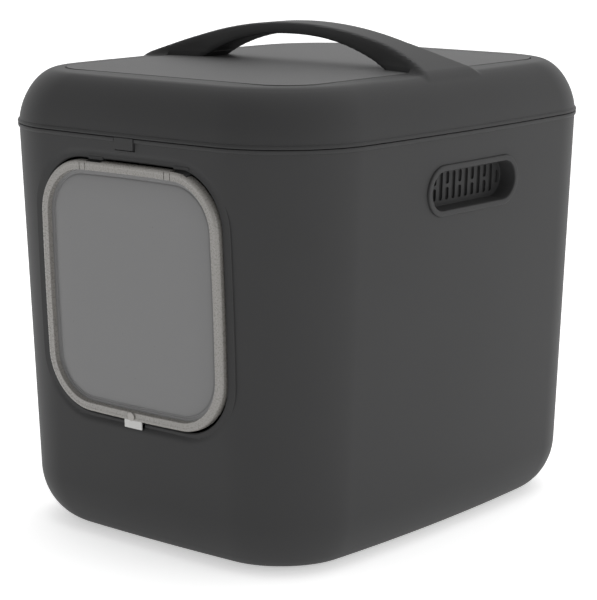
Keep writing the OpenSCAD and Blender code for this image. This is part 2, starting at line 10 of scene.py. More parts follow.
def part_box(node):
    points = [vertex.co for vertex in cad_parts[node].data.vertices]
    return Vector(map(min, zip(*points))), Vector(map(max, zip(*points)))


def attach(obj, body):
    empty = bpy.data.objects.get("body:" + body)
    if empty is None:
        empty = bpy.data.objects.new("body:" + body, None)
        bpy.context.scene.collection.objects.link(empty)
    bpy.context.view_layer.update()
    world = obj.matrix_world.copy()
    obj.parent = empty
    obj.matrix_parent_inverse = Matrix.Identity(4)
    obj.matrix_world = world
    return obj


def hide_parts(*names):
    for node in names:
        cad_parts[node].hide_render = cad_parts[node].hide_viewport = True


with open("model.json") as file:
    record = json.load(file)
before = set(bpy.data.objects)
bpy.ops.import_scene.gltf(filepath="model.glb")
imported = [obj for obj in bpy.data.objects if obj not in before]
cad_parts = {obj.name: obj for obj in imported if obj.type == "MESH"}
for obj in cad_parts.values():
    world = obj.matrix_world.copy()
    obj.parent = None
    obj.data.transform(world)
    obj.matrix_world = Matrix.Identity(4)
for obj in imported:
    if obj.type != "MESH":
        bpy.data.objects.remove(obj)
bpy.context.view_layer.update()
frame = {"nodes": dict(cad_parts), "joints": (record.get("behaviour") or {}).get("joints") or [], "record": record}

# Lengths below are millimetres in the frame's axes; meshes are written in metres.
MM = 0.001
joints = {j["name"]: j for j in frame["joints"]}


def corner(node, which):
    """Lowest (0) or highest (1) corner of a CAD node in millimetres."""
    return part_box(node)[which] / MM


# Shell of tub and hood, from the frame's boxes.
LIP_H = 7
HANDLE_RISE = 38
half_w = corner("tub", 1).x
half_d = -corner("tub", 0).y
tub_h = corner("tub", 1).z - LIP_H
hood_top = corner("hood", 1).z - HANDLE_RISE
WALL = 3
SIDE_BOW = 11
FRONT_BOW = 5.5
FOOT_INSET = 35
FOOT_RISE = 49
CORNER_R = 86
FOOT_CORNER_R = 73
SHOULDER_INSET = 28.5
SHOULDER_POWER = 1.7
SEAM_GAP = 0.5
LIP_SKIN = WALL / 2 + SEAM_GAP / 2
low = tub_h + SEAM_GAP
BEAD_H = 5.6
BEAD_OUT = 1.5
RIM_TOP = 3.2
RIM_LOW = 4

# Draft of the walls, from the direction that the lock slides in.
lock_axis = joints["lock_slide"]["axis"]
draft = math.atan2(lock_axis[1], -lock_axis[2])
slope = math.tan(draft)

# Flap: its frame sits on the hinge axis, z up the wall and y into the tub.
FLAP_AXIS = Vector(joints["flap_swing"]["pos_m"]) / MM
flap_frame = Matrix.Translation(FLAP_AXIS) @ Matrix.Rotation(draft, 4, "X")
BAR_W = 10
BAR_D = 9
RING_W = 218
RING_H = 235
RING_R = 50
RING_BOW = 2
ring_mid = BAR_W / 2 - RING_H / 2
DOOR_GAP = 1.8
DOOR_SIDE_GAP = 1
DOOR_R = 49
POCKET_Y = 1
POCKET_RIM = 6
PANE_LAP = 2.2
PANE_Y = 0.9
PANE_FRONT = 0.1
PANE_T = 2.4
HINGE_X = 52
LUG_W = 18
LUG_OFFSET = 4
EYE_R = 2.75
LOCK_X = -3.5
LOCK_W = 21.5
LOCK_T = 2.2
LOCK_Y = -3.2
LOCK_DROP = 7

# Handle and top panel.
ARCH_HALF = 176
HANDLE_W = 38
CROWN = 1.3
HANDLE_T = 11
HAND_HALF = 115
UNDER_POWER = 2.27
PANEL_MARGIN = 50
PANEL_R = 42
PANEL_T = 2
PANEL_SINK = 1.5
panel_floor = hood_top - PANEL_SINK - PANEL_T

# Side grips.
GRIP_L = 140
GRIP_H = 47
GRIP_RIM = 5.5
GRIP_DEEP = 16
GRIP_PROUD = 1.5
GRIP_FLOOR = -1.4
GRIP_WALL = 2
SLOT_W = 5.2
SLOT_PITCH = 9.7
SLOT_H = 26
grip_z = (corner("grip_right", 0).z + corner("grip_right", 1).z) / 2
grip_y = (corner("grip_right", 0).y + corner("grip_right", 1).y) / 2

# Rear hinges and front clip.
hinge_axis = Vector(joints["hood_hinge"]["pos_m"]) / MM
clip_axis = Vector(joints["clip_swing"]["pos_m"]) / MM
HINGE_PLACE = 95
HINGE_L = 60
HINGE_GAP = 0.5
BARREL_D = 9
KNUCKLE_L = (HINGE_L - 2 * HINGE_GAP) / 3
CLIP_W = 23
CLIP_DROP = 10.5
CLIP_PROUD = 1.75
CLIP_T = 3
CLIP_BARREL_R = 2.7


# ---------- Meshes ----------

def make_object(name, points, faces, place=None):
    """A mesh object from millimetre points; place is a matrix in millimetres."""
    mesh = bpy.data.meshes.new(name)
    mesh.from_pydata([tuple(p) for p in points], [], [tuple(f) for f in faces])
    if place is not None:
        mesh.transform(place)
    mesh.transform(Matrix.Scale(MM, 4))
    clean = bmesh.new()
    clean.from_mesh(mesh)
    bmesh.ops.recalc_face_normals(clean, faces=clean.faces)
    clean.to_mesh(mesh)
    clean.free()
    obj = bpy.data.objects.new(name, mesh)
    bpy.context.scene.collection.objects.link(obj)
    return obj


def loft(name, levels, place=None, ring=False):
    """Closed solid through levels with equal numbers of points; a ring joins its last level to its first."""
    count = len(levels[0])
    points = np.concatenate(levels)
    rows = len(levels)
    faces = []
    for j in range(rows if ring else rows - 1):
        here, above = j * count, (j + 1) % rows * count
        faces += [(here + i, here + (i + 1) % count, above + (i + 1) % count, above + i)
                  for i in range(count)]
    if not ring:
        faces.append(range(count))
        faces.append(range(rows * count - 1, (rows - 1) * count - 1, -1))
    return make_object(name, points, faces, place)


def apply_modifier(obj, modifier):
    bpy.context.view_layer.objects.active = obj
    bpy.ops.object.modifier_apply(modifier=modifier.name)


def combine(obj, other, operation):
    """Joins (UNION) or cuts (DIFFERENCE) another closed solid, which is used up."""
    modifier = obj.modifiers.new("combine", "BOOLEAN")
    modifier.solver = "MANIFOLD"
    modifier.operation = operation
    modifier.object = other
    apply_modifier(obj, modifier)
    bpy.data.objects.remove(other)


def cut(obj, *others):
    for other in others:
        combine(obj, other, "DIFFERENCE")


def join(obj, *others):
    for other in others:
        combine(obj, other, "UNION")


def bevel(obj, width, segments=3, angle=30):
    modifier = obj.modifiers.new("bevel", "BEVEL")
    modifier.width = width * MM
    modifier.segments = segments
    modifier.limit_method = "ANGLE"
    modifier.angle_limit = math.radians(angle)
    modifier.harden_normals = False
    apply_modifier(obj, modifier)


def smooth(obj, angle=32):
    """Smooth shading with sharp edges past angle, weighted by face area so that thin cut faces don't show."""
    tidy = bmesh.new()
    tidy.from_mesh(obj.data)
    bmesh.ops.remove_doubles(tidy, verts=tidy.verts, dist=0.004 * MM)
    bmesh.ops.dissolve_degenerate(tidy, edges=tidy.edges, dist=0.004 * MM)
    tidy.to_mesh(obj.data)
    tidy.free()
    obj.data.shade_smooth()
    obj.data.set_sharp_from_angle(angle=math.radians(angle))
    modifier = obj.modifiers.new("normals", "WEIGHTED_NORMAL")
    modifier.keep_sharp = True
    modifier.weight = 60
    apply_modifier(obj, modifier)


def box(name, lowest, highest, place=None):
    (x0, y0, z0), (x1, y1, z1) = lowest, highest
    bottom = np.array([(x0, y0, z0), (x1, y0, z0), (x1, y1, z0), (x0, y1, z0)], float)
    top = bottom + (0, 0, z1 - z0)
    return loft(name, [bottom, top], place)


def rod_x(name, x0, x1, radius, y, z, place=None, steps=48):
    turns = np.linspace(0, 2 * math.pi, steps, endpoint=False)
    circle = np.stack([0 * turns, y + radius * np.cos(turns), z + radius * np.sin(turns)], 1)
    return loft(name, [circle + (x0, 0, 0), circle + (x1, 0, 0)], place)


def extrude_x(name, outline, x0, x1, place=None):
    """Prism of a (y, z) outline from x0 to x1."""
    flat = np.array([(0, y, z) for y, z in outline], float)
    return loft(name, [flat + (x0, 0, 0), flat + (x1, 0, 0)], place)


def step_between(value, start, end):
    """0 before start, 1 after end, smooth between."""
    t = np.clip((value - start) / (end - start), 0, 1)
    return t * t * (3 - 2 * t)


# ---------- Outlines ----------

def round_box(a, b, r, arcs, sides):
    """Rectangle of half sizes a, b with round corners, counterclockwise from +x."""
    points = []
    centres = [(a - r, b - r), (r - a, b - r), (r - a, r - b), (a - r, r - b)]
    for k, (cx, cy) in enumerate(centres):
        turns = np.radians(90 * k) + np.linspace(0, math.pi / 2, arcs[k] + 1)
        points += [(cx + r * math.cos(t), cy + r * math.sin(t)) for t in turns]
        nx, ny = centres[(k + 1) % 4]
        start = np.array(points[-1])
        turn = math.radians(90 * (k + 1))
        end = np.array((nx + r * math.cos(turn), ny + r * math.sin(turn)))
        points += [tuple(start + (end - start) * i / sides[k]) for i in range(1, sides[k])]
    return np.array(points)


def bulged(points, a, b, bow_x, bow_y):
    x, y = points[:, 0], points[:, 1]
    return np.stack([
        x * (1 + bow_x / (a - bow_x) * (1 - (y / b) ** 2)),
        y * (1 + bow_y / (b - bow_y) * (1 - (x / a) ** 2))], 1)


# Steps of the shell's outline: finest along the front, where the doorway is.
SHELL_ARCS = (18, 18, 40, 40)
SHELL_SIDES = (20, 20, 100, 20)


def level(inset, r, z, arcs=SHELL_ARCS, sides=SHELL_SIDES):
    """One level of the shell, inset from its widest outline."""
    a, b = half_w - inset, half_d - inset
    flat = round_box(a - SIDE_BOW, b - FRONT_BOW, max(r, 8), arcs, sides)
    flat = bulged(flat, a, b, SIDE_BOW, FRONT_BOW)
    return np.column_stack([flat, np.full(len(flat), z)])


def door_outline(offset_x, offset_z, r, steps=16):
    """The ring's bowed outline in the flap's frame, moved outwards by the offsets: (x, z) pairs."""
    a, b = RING_W / 2 + offset_x, RING_H / 2 + offset_z
    flat = round_box(a - RING_BOW, b - RING_BOW, r, (steps,) * 4, (steps,) * 4)
    flat = bulged(flat, a, b, RING_BOW, RING_BOW)
    return flat + (0, ring_mid)


def door_level(offset_x, offset_z, r, y, steps=16):
    flat = door_outline(offset_x, offset_z, r, steps)
    return np.stack([flat[:, 0], np.full(len(flat), y), flat[:, 1]], 1)


def stadium(offset, x, steps=20):
    """The grip's stadium outline moved outwards by offset, at the place x: (x, y, z) points."""
    r = GRIP_H / 2 + offset
    flat = round_box(GRIP_L / 2 + offset, r, r - 0.01, (steps,) * 4, (6, 1, 6, 1))
    return np.column_stack([np.full(len(flat), x), flat])


# ---------- Tub ----------

def tub_corner(z):
    return FOOT_CORNER_R + (CORNER_R - FOOT_CORNER_R) * (z - FOOT_RISE) / (tub_h - FOOT_RISE)


def foot_level(turn, skin):
    share = 1 - math.cos(turn)
    pulled = FOOT_INSET * (1 - math.sin(turn))
    z = FOOT_RISE * share
    height = skin + (FOOT_RISE - skin) * share
    return level(slope * (tub_h - z) + pulled + skin, FOOT_CORNER_R - 0.6 * pulled - skin, height)


def wall_level(z, skin):
    return level(slope * (tub_h - z) + skin, tub_corner(z) - skin, z)


def door_distance(x, z):
    """Distance outwards from the ring's outline, measured on the front wall."""
    mid = FLAP_AXIS.z + ring_mid * math.cos(draft)
    qx = np.abs(x) - (RING_W / 2 - RING_R)
    qz = np.abs(z - mid) - (RING_H / 2 - RING_R)
    outside = np.hypot(np.maximum(qx, 0), np.maximum(qz, 0))
    return outside + np.minimum(np.maximum(qx, qz), 0) - RING_R


def with_pocket(points):
    """Presses the shallow, soft-edged pocket around the doorway into the outer wall."""
    x, y, z = points.T
    floor = FLAP_AXIS.y + POCKET_Y * math.cos(draft) - (z - FLAP_AXIS.z) * slope
    target = np.maximum(floor, y + 0.45)
    share = 1 - step_between(door_distance(x, z), POCKET_RIM - 1.5, POCKET_RIM + 3)
    share = np.where(y < 0, share, 0)
    return np.column_stack([x, y + share * (target - y), z])


def tub_shell():
    turns = np.radians(np.linspace(0, 90, 22))
    door_low = 105
    heights = np.concatenate([
        np.linspace(FOOT_RISE, door_low, 8)[1:],
        np.linspace(door_low, tub_h - RIM_LOW - 0.3, 126)[1:]])
    rolled_rim = [(RIM_LOW, 0), (RIM_LOW - 0.3, -0.7), (RIM_LOW - 0.9, -1.15), (RIM_LOW - 1.8, -1.35),
                  (1, -1.35),
                  (0.3, -1.1), (0, -0.5)]
    outer = [foot_level(t, 0) for t in turns]
    outer += [with_pocket(wall_level(z, 0)) for z in heights]
    outer += [wall_level(tub_h - depth, out) for depth, out in rolled_rim]
    rim = [
        level(LIP_SKIN, CORNER_R - LIP_SKIN, tub_h),
        level(LIP_SKIN, CORNER_R - LIP_SKIN, tub_h + LIP_H - 0.5),
        level(LIP_SKIN + 0.4, CORNER_R - LIP_SKIN, tub_h + LIP_H),
        level(WALL, CORNER_R - WALL, tub_h + LIP_H)]
    inner = [wall_level(z, WALL) for z in np.linspace(tub_h * 0.95, FOOT_RISE, 24)]
    inner += [foot_level(t, WALL) for t in turns[-2::-1]]
    return loft("tub_shell", outer + rim + inner)


def doorway_backing():
    """Plate behind the doorway and the sill boss that holds the lock's socket."""
    back = POCKET_Y + WALL + 0.1
    front = -1.5 + WALL - 0.6
    grow = DOOR_GAP + POCKET_RIM + WALL
    plate = loft("backing", [door_level(grow, grow, RING_R + 8, y) for y in (front, back)], flap_frame)
    boss_low = BAR_W / 2 - RING_H - DOOR_GAP - LOCK_DROP - 10
    boss = box("boss", (LOCK_X - LOCK_W / 2 - 4, front, boss_low),
               (LOCK_X + LOCK_W / 2 + 4, front + 5.6, boss_low + LOCK_DROP + 8), flap_frame)
    return plate, boss


def doorway_cutters():
    sill = BAR_W / 2 - RING_H
    lip = [(POCKET_Y - 20, 20.9), (POCKET_Y - 0.1, 1), (POCKET_Y + 0.8, 0), (POCKET_Y + 30, 0)]
    opening = loft("opening", [
        door_level(DOOR_SIDE_GAP + grow, DOOR_GAP + grow, DOOR_R + grow, y) for y, grow in lip], flap_frame)
    relief = loft("relief", [
        door_level(DOOR_SIDE_GAP + 3, DOOR_GAP + 3, DOOR_R + 3, y) for y in (POCKET_Y + 1.4, 30)], flap_frame)
    notch = box("notch", (LOCK_X - LOCK_W / 2 - 0.3, -20, sill - LOCK_DROP - 0.5),
                (LOCK_X + LOCK_W / 2 + 0.3, 20, sill), flap_frame)
    return opening, relief, notch


def flap_lugs():
    """Hanger lugs behind the ring's top bar, with the tabs that close the gap above it."""
    reach = BAR_W / 2 + DOOR_GAP + 5
    pieces = []
    for side in (-1, 1):
        start = side * HINGE_X + LUG_OFFSET
        pieces.append(rod_x("eye", start, start + LUG_W, EYE_R, 0, 0, flap_frame))
        web_place = flap_frame @ Matrix.Rotation(math.radians(45), 4, "X")
        pieces.append(box("web", (start, EYE_R - 0.6, -0.9), (start + LUG_W, reach, 0.9), web_place))
        pieces.append(box("foot", (start, POCKET_Y + 0.5, BAR_W / 2 + DOOR_GAP - 0.6),
                          (start + LUG_W, POCKET_Y + 7.5, BAR_W / 2 + DOOR_GAP + 5.4), flap_frame))
        pieces.append(box("tab", (start, POCKET_Y - 0.6, BAR_W / 2 + 0.75),
                          (start + LUG_W, POCKET_Y + 1.6, BAR_W / 2 + DOOR_GAP + 1.5), flap_frame))
    return pieces


def rear_knuckles(inner):
    """Barrels of the rear hinges: the hood's middle ones, or the tub's outer ones with their gussets."""
    y, z = hinge_axis.y, hinge_axis.z
    wall_y = half_d - 4
    pieces = []
    for side in (-1, 1):
        for k in ((1,) if inner else (0, 2)):
            start = side * HINGE_PLACE - HINGE_L / 2 + k * (KNUCKLE_L + HINGE_GAP)
            pieces.append(rod_x("knuckle", start, start + KNUCKLE_L, BARREL_D / 2, y, z))
            if inner:
                pieces.append(box("arm", (start, half_d - 1.2, z - BEAD_H / 2),
                                  (start + KNUCKLE_L, y, z + BEAD_H / 2)))
                continue
            under = tub_h - 0.1
            gusset = [(y + BARREL_D / 2, z), (y - BARREL_D / 2, z), (y - BARREL_D / 2, under),
                      (wall_y, under), (wall_y, z - 30), (half_d, z - 30)]
            pieces.append(extrude_x("gusset", gusset, start, start + KNUCKLE_L))
    return pieces


def grip_seats():
    cutters = []
    tube = GRIP_WALL - GRIP_RIM + 0.2
    for side in (-1, 1):
        place = grip_place(side)
        cutters.append(loft("seat", [stadium(0.2, x) for x in (GRIP_FLOOR, 20)], place))
        cutters.append(loft("hole", [stadium(tube, x) for x in (-20, 10)], place))
    return cutters


def clip_cutters():
    room = CLIP_W / 2 + 0.9
    pocket = box("pocket", (-room, -half_d - 6, tub_h - CLIP_DROP - 1),
                 (room, -half_d + CLIP_T + 1.6, tub_h + 20))
    bracket = CLIP_W / 2 + 4.9
    front = -half_d + 1.3
    behind = box("bracket", (-bracket, front, clip_axis.z - CLIP_BARREL_R - 0.5),
                 (bracket, front + 8.7, tub_h + 30))
    return pocket, behind


def build_tub():
    tub = tub_shell()
    clip_backing = box("clip_backing", (-CLIP_W / 2 - 5, -half_d + WALL - 0.8, tub_h - CLIP_DROP - 6),
                       (CLIP_W / 2 + 5, -half_d + WALL + 5.6, tub_h - SEAM_GAP))
    join(tub, *doorway_backing(), clip_backing, *rear_knuckles(False))
    cut(tub, *doorway_cutters(), *clip_cutters(), *grip_seats())
    join(tub, *flap_lugs())
    smooth(tub)
    return tub


# ---------- Hood ----------

def shell_inset(x, y):
    """How far inside the seam's outline a point lies, for the shoulder's curve."""
    flat_x, flat_y = x.copy(), y.copy()
    for _ in range(3):
        flat_x = x / (1 + SIDE_BOW / (half_w - SIDE_BOW) * (1 - (flat_y / half_d) ** 2))
        flat_y = y / (1 + FRONT_BOW / (half_d - FRONT_BOW) * (1 - (flat_x / half_w) ** 2))
    inset = np.zeros_like(x)
    for _ in range(6):
        r = CORNER_R - 0.4 * inset
        qx = np.abs(flat_x) - (half_w - SIDE_BOW - inset - r)
        qy = np.abs(flat_y) - (half_d - FRONT_BOW - inset - r)
        outside = np.hypot(np.maximum(qx, 0), np.maximum(qy, 0)) + np.minimum(np.maximum(qx, qy), 0) - r
        inset = np.clip(inset - outside, -20, 60)
    return inset


def dome_distance(inset, z):
    """Distance outside the dome, whose shoulder is a superellipse."""
    rise = hood_top - low
    u = np.maximum(0, 1 - inset / SHOULDER_INSET)
    v = np.maximum(0, (z - low) / rise)
    size = np.maximum((u ** SHOULDER_POWER + v ** SHOULDER_POWER) ** (1 / SHOULDER_POWER), 1e-6)
    du = (u / size) ** (SHOULDER_POWER - 1) / SHOULDER_INSET
    dv = (v / size) ** (SHOULDER_POWER - 1) / rise
    return (size - 1) / np.maximum(np.hypot(du, dv), 0.5 / rise)


def smooth_max(a, b, k):
    h = np.maximum(k - np.abs(a - b), 0) / k
    return np.maximum(a, b) + h * h * k / 4


def arch_under(x):
    opening = HANDLE_RISE - HANDLE_T
    fall = (opening + PANEL_SINK) * np.minimum(np.abs(x) / HAND_HALF, 3) ** UNDER_POWER
    return np.maximum(panel_floor - 1, hood_top + opening - fall)


def handle_half(x):
    """Half the handle's width: it flares towards its feet."""
    flare = 12 * step_between(np.abs(x), 105, 170)
    return HANDLE_W / 2 + flare + 12 * step_between(np.abs(x), 145, 190)


def handle_top(x, inset):
    """Height of the handle's arched top, which runs into the shoulder's curve at its ends."""
    u = np.clip(1 - inset / SHOULDER_INSET, 0, 1)
    shoulder = (1 - u ** SHOULDER_POWER) ** (1 / SHOULDER_POWER)
    arch = hood_top - low + HANDLE_RISE * (1 - (x / ARCH_HALF) ** 2)
    return low + arch * shoulder


def handle_distance(x, y, z, inset, grow=0):
    tilt = 1 / np.sqrt(1 + (2 * HANDLE_RISE * x / ARCH_HALF ** 2) ** 2)
    above = (z - handle_top(x, inset)) * tilt
    beside = np.abs(y) - handle_half(x)
    below = (arch_under(x) - z) * 0.9
    end = np.abs(x) - 186
    round_edge = smooth_max(above, beside, 4.5)
    return smooth_max(smooth_max(round_edge, below, 3), end, 2) - grow


def hood_distance(x, y, z):
    inset = shell_inset(x, y)
    crown = CROWN * (1 - step_between(inset, 22, 70)) * np.clip((z - low) / (hood_top - low), 0, 1) ** 2
    dome = smooth_max(dome_distance(inset, z + crown), low - 8 - z, 1)
    handle = handle_distance(x, y, z, inset)
    blend = 7 - 4.5 * step_between(np.abs(x), 150, 180)
    return -smooth_max(-dome, -handle, blend)


def surface_net(name, distance, lowest, highest, step):
    """Closed mesh of the surface where distance is zero, one point in each cell that it crosses."""
    axes = [np.arange(a, b + step, step) for a, b in zip(lowest, highest)]
    grid = np.meshgrid(*axes, indexing="ij")
    values = distance(*grid)
    inside = values < 0
    cells = tuple(n - 1 for n in values.shape)
    total = np.zeros(cells + (3,))
    hits = np.zeros(cells)
    crossings = []
    for axis in range(3):
        ahead = [slice(None)] * 3
        behind = [slice(None)] * 3
        ahead[axis], behind[axis] = slice(1, None), slice(None, -1)
        first, second = values[tuple(behind)], values[tuple(ahead)]
        crossed = inside[tuple(behind)] != inside[tuple(ahead)]
        crossings.append(crossed)
        share = np.where(crossed, first / np.where(crossed, first - second, 1), 0)
        place = np.stack([g[tuple(behind)] for g in grid], -1)
        place[..., axis] += share * step
        others = [a for a in range(3) if a != axis]
        for i in (0, 1):
            for j in (0, 1):
                part = [slice(None)] * 3
                part[others[0]] = slice(i, cells[others[0]] + i)
                part[others[1]] = slice(j, cells[others[1]] + j)
                near = crossed[tuple(part)]
                total += np.where(near[..., None], place[tuple(part)], 0)
                hits += near
    used = hits > 0
    number = np.full(cells, -1)
    number[used] = np.arange(used.sum())
    points = total[used] / hits[used][:, None]
    faces = []
    for axis, crossed in enumerate(crossings):
        b, c = (axis + 1) % 3, (axis + 2) % 3
        at = np.argwhere(crossed)
        at = at[(at[:, b] > 0) & (at[:, c] > 0) & (at[:, b] < cells[b]) & (at[:, c] < cells[c])]
        around = []
        for db, dc in ((1, 1), (0, 1), (0, 0), (1, 0)):
            cell = at.copy()
            cell[:, b] -= db
            cell[:, c] -= dc
            around.append(number[tuple(cell.T)])
        quads = np.stack(around, 1)
        flip = ~inside[tuple(at.T)]
        quads[flip] = quads[flip][:, ::-1]
        faces.append(quads)
    points = settle(points, distance, step)
    return make_object(name, points, np.concatenate(faces).tolist())


def settle(points, distance, step, rounds=5):
    """Moves points along the distance's slope onto the surface."""
    reach = 0.15
    for _ in range(rounds):
        here = distance(*points.T)
        slopes = []
        for axis in range(3):
            side = np.zeros(3)
            side[axis] = reach
            slopes.append((distance(*(points + side).T) - distance(*(points - side).T)) / (2 * reach))
        slopes = np.stack(slopes, 1)
        size = np.maximum((slopes ** 2).sum(1), 0.05)
        move = -(here / size)[:, None] * slopes
        length = np.linalg.norm(move, axis=1, keepdims=True)
        points = points + move * np.minimum(1, step / 2 / np.maximum(length, 1e-9))
    return points


def handle_solid(grow):
    def distance(x, y, z):
        return handle_distance(x, y, z, shell_inset(x, y), grow)
    return surface_net("handle", distance, (-192, -50, panel_floor - 9),
                       (192, 50, hood_top + HANDLE_RISE + 4), 2.5)


def panel_outline(gap, z):
    a, b = half_w - PANEL_MARGIN - gap, half_d - PANEL_MARGIN - gap
    flat = round_box(a, b, PANEL_R - gap, (20,) * 4, (30,) * 4)
    return np.column_stack([flat, np.full(len(flat), z)])


def hood_cavity():
    turns = np.radians(np.linspace(90, 20, 14))
    inner_top = panel_floor - 2.6
    room = WALL / 2 - SEAM_GAP / 2

    def shoulder(turn):
        rise = math.sin(turn) ** (2 / SHOULDER_POWER)
        pulled = SHOULDER_INSET * (1 - math.cos(turn) ** (2 / SHOULDER_POWER))
        z = low + (inner_top - low) * rise
        return level(pulled + room + 1.2, CORNER_R - 0.4 * pulled - room, z, (12,) * 4, (16,) * 4)
    levels = [shoulder(t) for t in turns]
    levels += [level(room, CORNER_R - 1.5, z, (12,) * 4, (16,) * 4) for z in (low + LIP_H, low - 4)]
    return loft("cavity", levels)


def bead():
    """The hood's half of the rounded rim along the seam."""
    profile = [(-0.8, 0), (-BEAD_OUT + 0.15, 0.35), (-BEAD_OUT, 0.9), (-BEAD_OUT + 0.1, 1.7), (-0.9, 2.6),
               (-0.3, RIM_TOP), (1, RIM_TOP + 0.4)]
    return loft("bead", [level(inset, CORNER_R - inset, low + z) for inset, z in profile])


def arch_section(x, skin, drop):
    """Cross-section of the handle's hollow at the place x."""
    w = float(handle_half(np.array(x))) - skin
    under = float(arch_under(np.array(x))) - drop
    top = max(hood_top + HANDLE_RISE * (1 - (x / ARCH_HALF) ** 2) - skin, under + 0.8)
    return np.array([(x, w, under), (x, w, top - 2), (x, w - 2, top),
                     (x, 2 - w, top), (x, -w, top - 2), (x, -w, under)])


def handle_channel():
    places = (HAND_HALF - 12) * np.sin(np.radians(np.linspace(-90, 90, 41)))
    return loft("channel", [arch_section(x, 3, 3) for x in places])


def clip_cheeks():
    pieces = []
    for side in (-1, 1):
        mid = side * (CLIP_W / 2 + 2.5)
        front = -half_d + 1.7
        pieces.append(box("cheek", (mid - 2, front, clip_axis.z - CLIP_BARREL_R),
                          (mid + 2, front + 7.9, low + 9)))
    return pieces


def clip_slot():
    room = CLIP_W / 2 + 0.5
    barrel = rod_x("slot", -room, room, CLIP_BARREL_R + 0.4, clip_axis.y, clip_axis.z)
    under = box("under", (-room, -half_d + 0.2, tub_h - 1), (room, -half_d + 9.6, clip_axis.z))
    return barrel, under


def build_hood():
    reach_x, reach_y = half_w + 6, half_d + 6
    hood = surface_net("hood_shell", hood_distance, (-reach_x, -reach_y, low - 12),
                       (reach_x, reach_y, hood_top + HANDLE_RISE + 5), 2.6)
    cut(hood, box("below", (-300, -300, low - 60), (300, 300, low)))
    join(hood, bead())
    cut(hood, hood_cavity())
    recess = loft("recess", [panel_outline(0, z) for z in (panel_floor, hood_top + 60)])
    cut(recess, handle_solid(0.3))
    cut(hood, recess, handle_channel())
    join(hood, *rear_knuckles(True), *clip_cheeks())
    cut(hood, *clip_slot())
    smooth(hood)
    return hood


def build_panel():
    top = hood_top - 0.3
    gap = 1.3
    panel = loft("top_panel_skin", [
        panel_outline(gap, panel_floor), panel_outline(gap, top - 0.4),
        panel_outline(gap + 0.12, top - 0.12), panel_outline(gap + 0.4, top)])
    cut(panel, handle_solid(0.9))
    smooth(panel)
    return panel


# ---------- Flap ----------

def rounded(corners, steps=5):
    """Closed outline through (u, v, radius) corners, each one rounded."""
    points = []
    for i, (u, v, r) in enumerate(corners):
        here = np.array((u, v), float)
        before = np.array(corners[i - 1][:2], float) - here
        after = np.array(corners[(i + 1) % len(corners)][:2], float) - here
        before /= np.linalg.norm(before)
        after /= np.linalg.norm(after)
        if r == 0:
            points.append(here)
            continue
        half = math.acos(np.clip(before @ after, -1, 1)) / 2
        reach = r / math.tan(half)
        start, end = here + before * reach, here + after * reach
        middle = here + (before + after) / np.linalg.norm(before + after) * (r / math.sin(half))
        for k in range(steps + 1):
            way = (start - middle) * (1 - k / steps) + (end - middle) * k / steps
            points.append(middle + way / np.linalg.norm(way) * r)
    return points


def lug_openings():
    """Room in the ring and the pane for the hanger lugs while the flap swings."""
    cutters = []
    for side in (-1, 1):
        start = side * HINGE_X + LUG_OFFSET - 0.6
        cutters.append(rod_x("eye_room", start, start + LUG_W + 1.2, EYE_R + 0.35, 0, 0, flap_frame))
        turns = np.radians(np.linspace(-60, 130, 12))
        sector = [(0, 0)] + [(12 * math.cos(t), 12 * math.sin(t)) for t in turns]
        cutters.append(extrude_x("sector", sector, start, start + LUG_W + 1.2, flap_frame))
    return cutters


def build_ring():
    half = BAR_W / 2
    front = -BAR_D / 2 + 0.07
    section = rounded([
        (half, BAR_D / 2, 1.2), (half, front + 2.8, 0.8), (half - 0.9, front + 0.2, 2), (half - 3.4, front, 1),
        (0.6, front + 0.28, 0), (2.4 - half, front + 0.05, 0), (1.6 - half, front, 0.6),
        (0.8 - half, PANE_FRONT, 0),
        (-half + PANE_LAP + 0.1, PANE_FRONT, 0), (-half + PANE_LAP + 0.1, BAR_D / 2, 0.8)])
    levels = [door_level(u - half, u - half, RING_R - half + u, v, 24) for u, v in section]
    ring = loft("flap_ring_bar", levels, flap_frame, ring=True)
    for side in (-1, 1):
        for edge in (-3.5, 3.5):
            x = side * HINGE_X + edge
            cut(ring, box("groove", (x - 0.45, front - 2, -BAR_W), (x + 0.45, front + 0.7, BAR_W),
                          flap_frame))
    cut(ring, *lug_openings())
    sill = BAR_W / 2 - RING_H
    cut(ring,
        box("guide", (LOCK_X - LOCK_W / 2 - 0.4, LOCK_Y - 0.2, sill - 1),
            (LOCK_X + LOCK_W / 2 + 0.4, LOCK_Y + LOCK_T + 0.2, sill + 7.6), flap_frame),
        box("slit", (LOCK_X - 1.8, front - 2, sill + 0.9), (LOCK_X + 1.8, front + 3, sill + 8.4), flap_frame))
    smooth(ring, 40)
    return ring


def build_pane():
    """Smoked pane: a flat rim, a groove, and a soft pillow towards the middle."""
    front = PANE_FRONT + 0.05
    steps = [(-7.7, PANE_Y + PANE_T - 0.3), (-7.7, front), (-11.6, front), (-11.9, front + 0.5),
             (-12.9, front + 0.5), (-13.5, front)]
    for k in range(1, 15):
        share = k / 14
        steps.append((-13.5 - 26 * share ** 1.5, front - 1.3 * math.sin(math.pi / 2 * share)))
    steps.append((-80, front - 1.32))
    back = PANE_Y + PANE_T
    levels = [door_level(-60, -60, 12, back, 20), door_level(-9, -9, RING_R - 9, back, 20)]
    levels += [door_level(o, o, max(RING_R + o, 14), y, 20) for o, y in steps]
    pane = loft("flap_window", levels, flap_frame)
    cut(pane, *lug_openings())
    smooth(pane)
    return pane


def build_lock():
    sill = BAR_W / 2 - RING_H
    tongue = box("lock_tongue", (LOCK_X - LOCK_W / 2, LOCK_Y, sill - LOCK_DROP),
                 (LOCK_X + LOCK_W / 2, LOCK_Y + LOCK_T - 0.6, sill + 6.8), flap_frame)
    bevel(tongue, 0.45)
    smooth(tongue)
    return tongue


